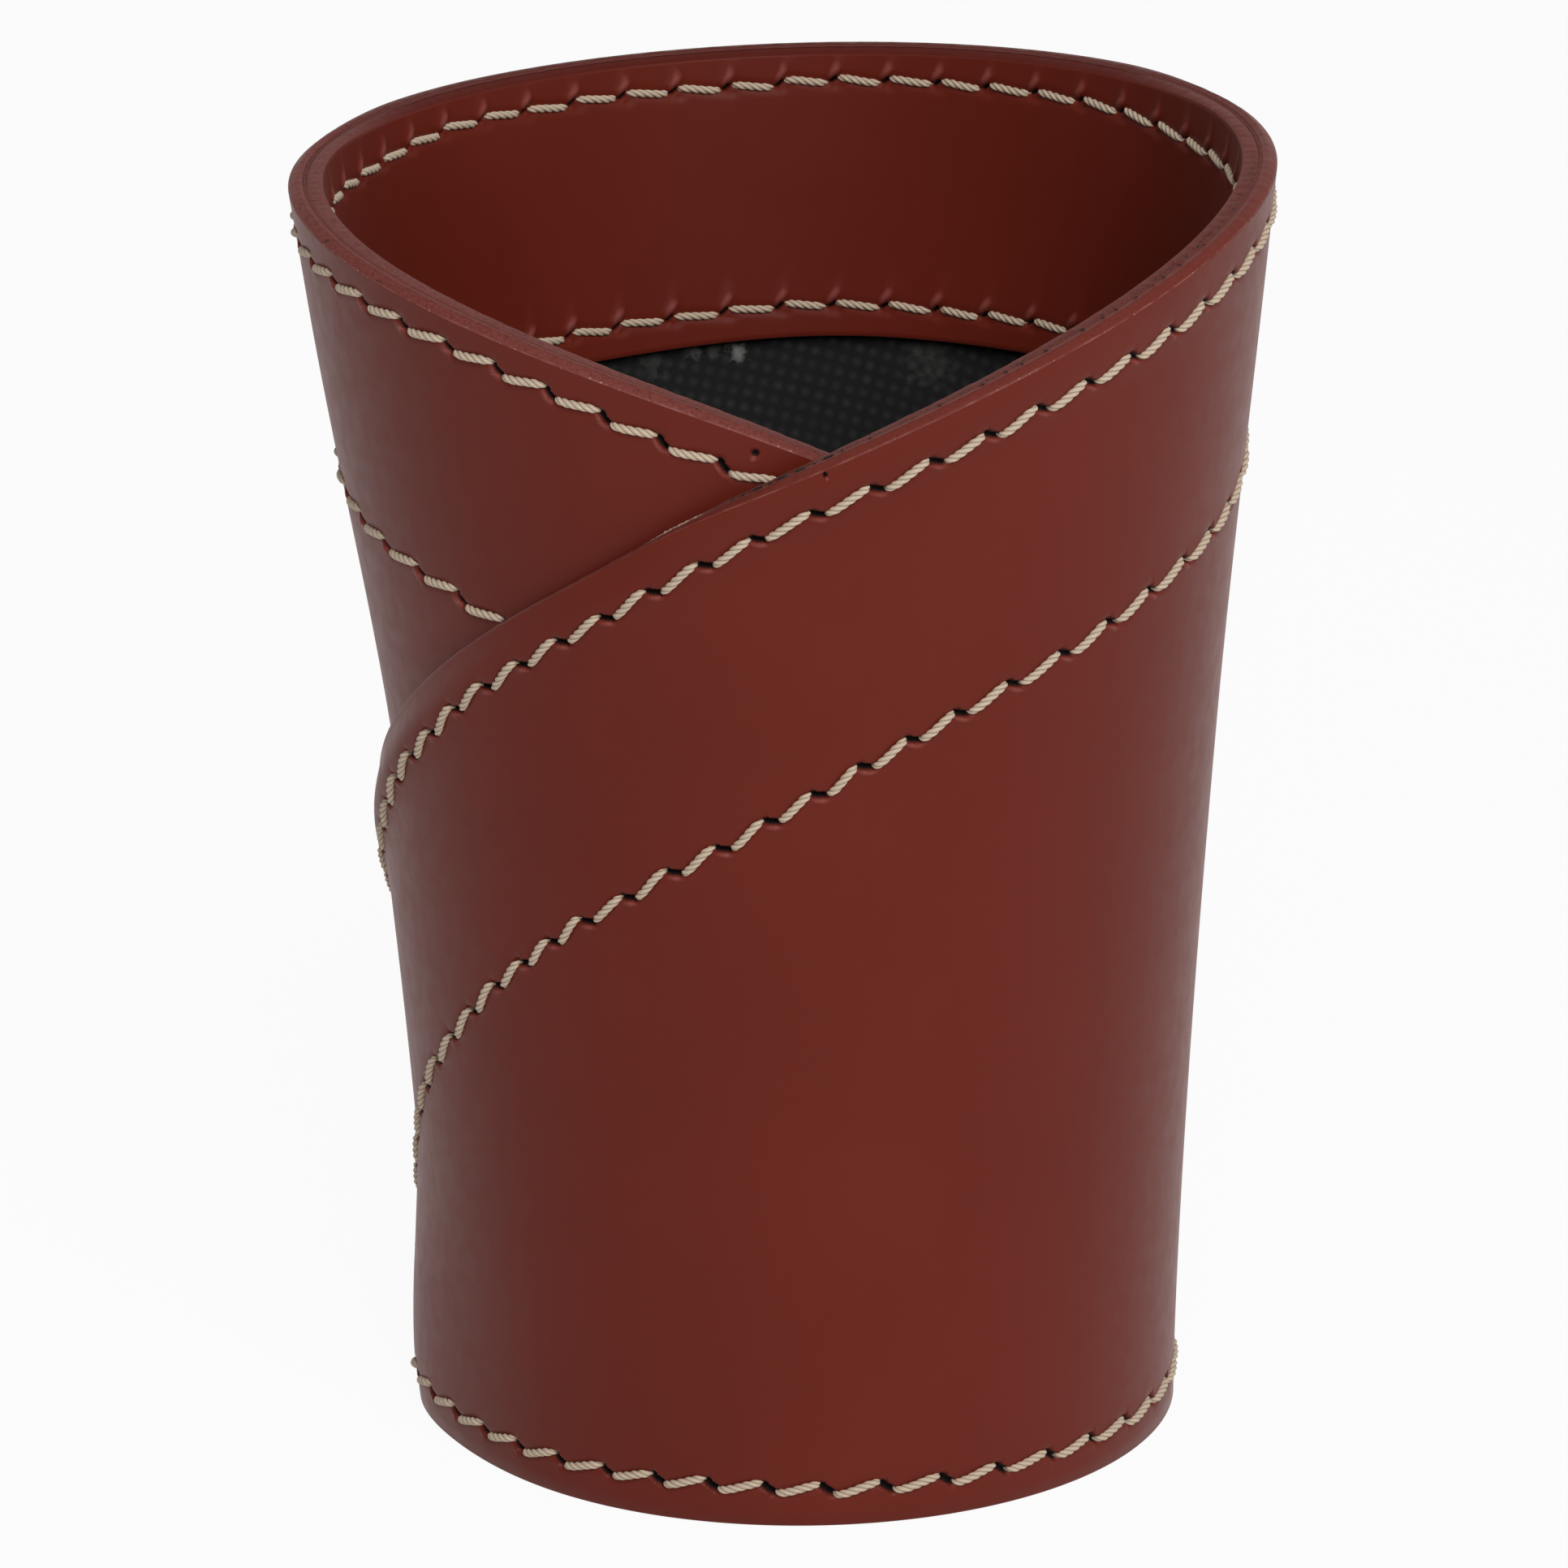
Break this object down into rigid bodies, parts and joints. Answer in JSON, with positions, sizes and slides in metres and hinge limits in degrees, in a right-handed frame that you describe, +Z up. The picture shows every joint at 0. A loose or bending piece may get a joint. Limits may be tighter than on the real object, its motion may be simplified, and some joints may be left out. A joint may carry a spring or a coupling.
{
  "type": "pen holder cup",
  "caption": "Flared leather pen cup wrapped from one blank whose two wings cross in front below an open rim, with sewn edges and a black fabric lining.",
  "frame": {"origin": "on the surface the cup stands on, under the centre of its box", "axes": "+Z up through the mouth, -Y towards the front where the wings cross, +X to the right seen from the front"},
  "size_m": [0.0794, 0.0785, 0.1057],
  "materials": {
    "wrap_leather": "smooth satin, red-brown",
    "band_leather": "smooth satin, red-brown",
    "base_leather": "smooth satin, red-brown",
    "backing_fabric": "matt black spunbond",
    "floor_fabric": "matt black spunbond",
    "board": "plain greyboard",
    "thread": "twisted cream sewing thread"
  },
  "bodies": {
    "root": {"leather_wrap": "wrap_leather", "fabric_backing": "backing_fabric", "facing_band": "band_leather", "base_cap": "base_leather", "base_board": "board", "floor_lining": "floor_fabric", "edge_seam_needle_thread": "thread", "edge_seam_bobbin_thread": "thread", "band_seam_needle_thread": "thread", "band_seam_bobbin_thread": "thread", "foot_seam_needle_thread": "thread", "foot_seam_bobbin_thread": "thread"}
  },
  "joints": []
}
